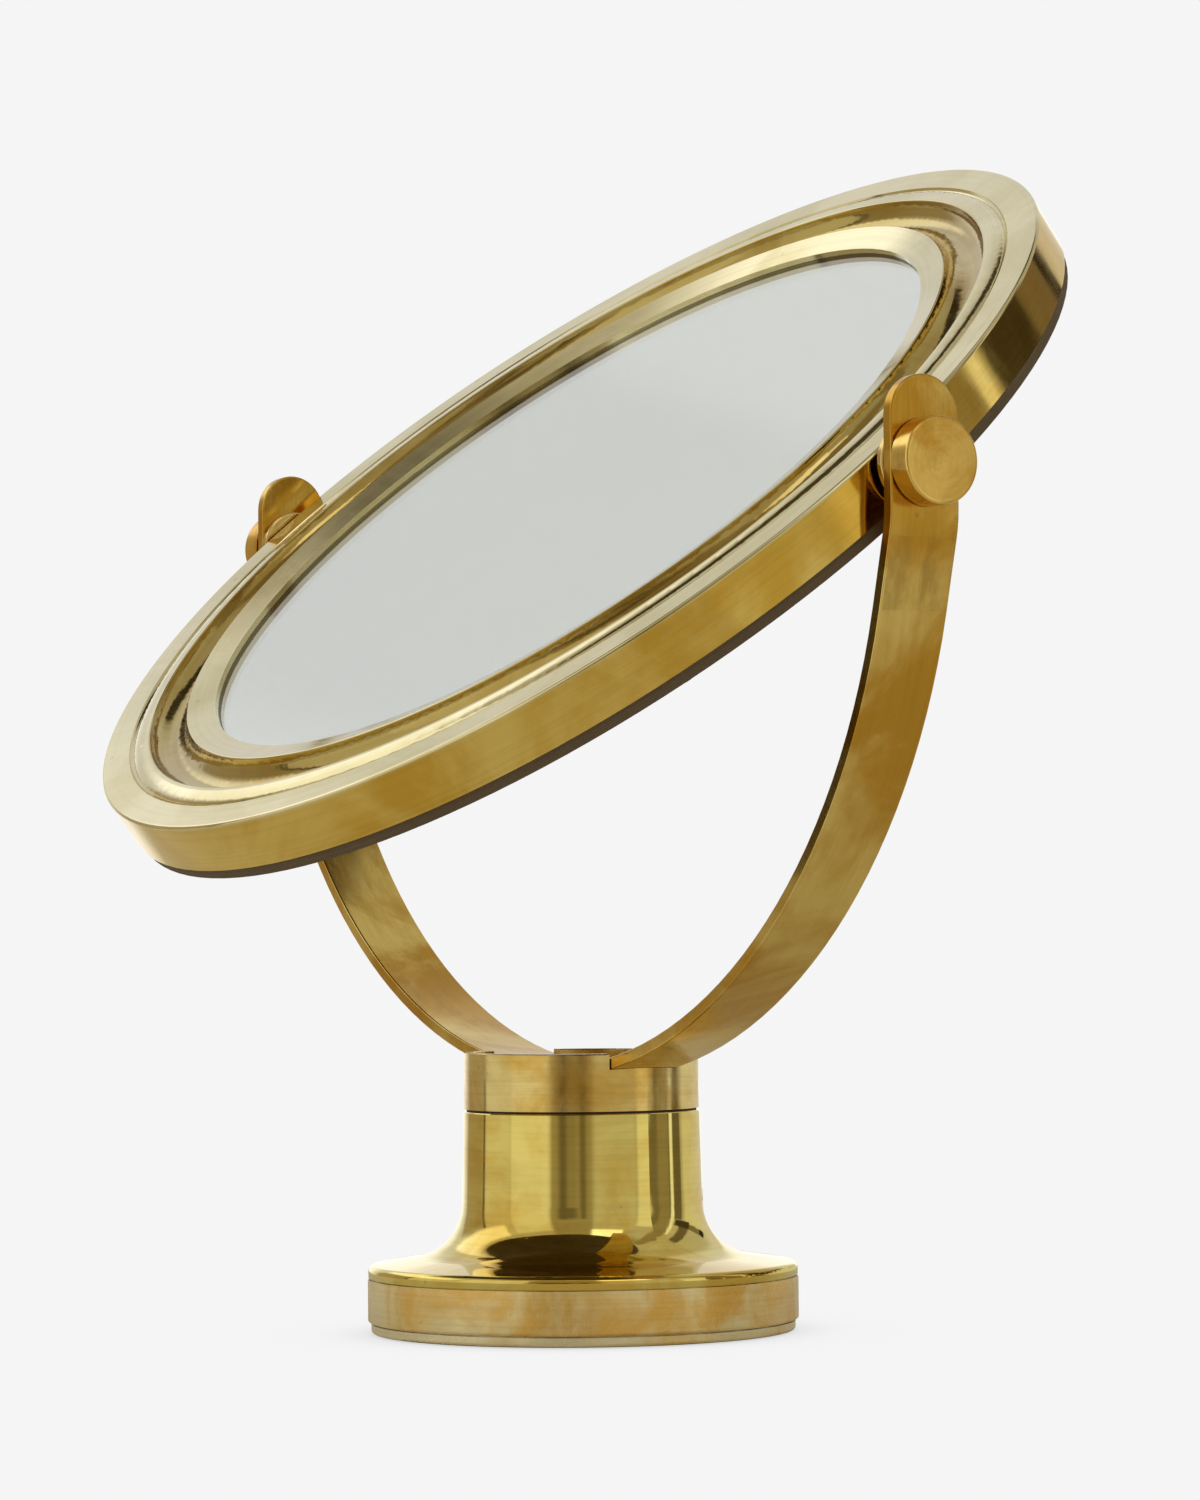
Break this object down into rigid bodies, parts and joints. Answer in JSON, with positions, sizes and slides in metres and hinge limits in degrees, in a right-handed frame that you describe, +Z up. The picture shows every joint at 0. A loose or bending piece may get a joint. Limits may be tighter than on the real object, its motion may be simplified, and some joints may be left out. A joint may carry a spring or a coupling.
{
  "type": "table mirror",
  "caption": "Round table mirror in a turned brass ring, tilting between clamp knobs in a half-round yoke that swivels on a weighted turned foot.",
  "frame": {"origin": "on the table under the middle of the foot, on the swivel's axis", "axes": "+Z up, +X along the tilt axis towards the right knob as seen from the glass side, -Y the way the glass faces; at rest the glass leans back and looks up"},
  "size_m": [0.4376, 0.3253, 0.4315],
  "materials": {
    "polished_brass": "polished, light lacquer",
    "satin_brass": "satin, fine turned lines, slightly tarnished",
    "brushed_brass": "brushed lengthwise, tarnished",
    "screw_brass": "plain turned",
    "bronze": "plain turned",
    "steel": "plain",
    "spring_steel": "oiled, dark",
    "cast_iron": "painted black",
    "silvered_glass": "clear silvered plate",
    "fibre": "dark fibre sheet",
    "cushion": "soft felt paper",
    "packing_wood": "plain bent wood",
    "hardboard": "dark brown pressed board",
    "felt": "dark green felt"
  },
  "bodies": {
    "base": {"base_column": "polished_brass", "base_band": "satin_brass", "foot_plate": "satin_brass", "ballast_weight": "cast_iron", "felt_pad": "felt", "base_screws": "steel", "swivel_bush": "bronze", "swivel_washer": "fibre"},
    "yoke": {"swivel_collar": "satin_brass", "swivel_spindle": "steel", "spring_washer": "spring_steel", "spindle_nuts": "steel", "yoke_strip": "brushed_brass", "yoke_screws": "screw_brass"},
    "mirror_head": {"mirror_rim": "polished_brass", "mirror_glass": "silvered_glass", "cushion_sheet": "cushion", "packing_ring": "packing_wood", "back_board": "hardboard", "board_lugs": "screw_brass", "board_screws": "screw_brass", "left_pivot_boss": "screw_brass", "right_pivot_boss": "screw_brass", "left_stud": "steel", "right_stud": "steel", "left_spacer": "polished_brass", "right_spacer": "polished_brass"},
    "left_clamp": {"left_knob": "satin_brass", "left_pivot_washer": "fibre"},
    "right_clamp": {"right_knob": "satin_brass", "right_pivot_washer": "fibre"}
  },
  "joints": [
    {"name": "yoke_swivel", "type": "hinge", "parent": "base", "child": "yoke", "pos_m": [0, 0, 0.08], "axis": [0, 0, 1], "continuous": true},
    {"name": "head_tilt", "type": "hinge", "parent": "yoke", "child": "mirror_head", "pos_m": [0, 0, 0.2982], "axis": [1, 0, 0], "continuous": true},
    {"name": "right_knob_turn", "type": "hinge", "parent": "mirror_head", "child": "right_clamp", "pos_m": [0.2098, 0, 0.2982], "axis": [1, 0, 0], "range_deg": [0, 360]},
    {"name": "left_knob_turn", "type": "hinge", "parent": "mirror_head", "child": "left_clamp", "pos_m": [-0.2098, 0, 0.2982], "axis": [-1, 0, 0], "range_deg": [0, 360]}
  ]
}
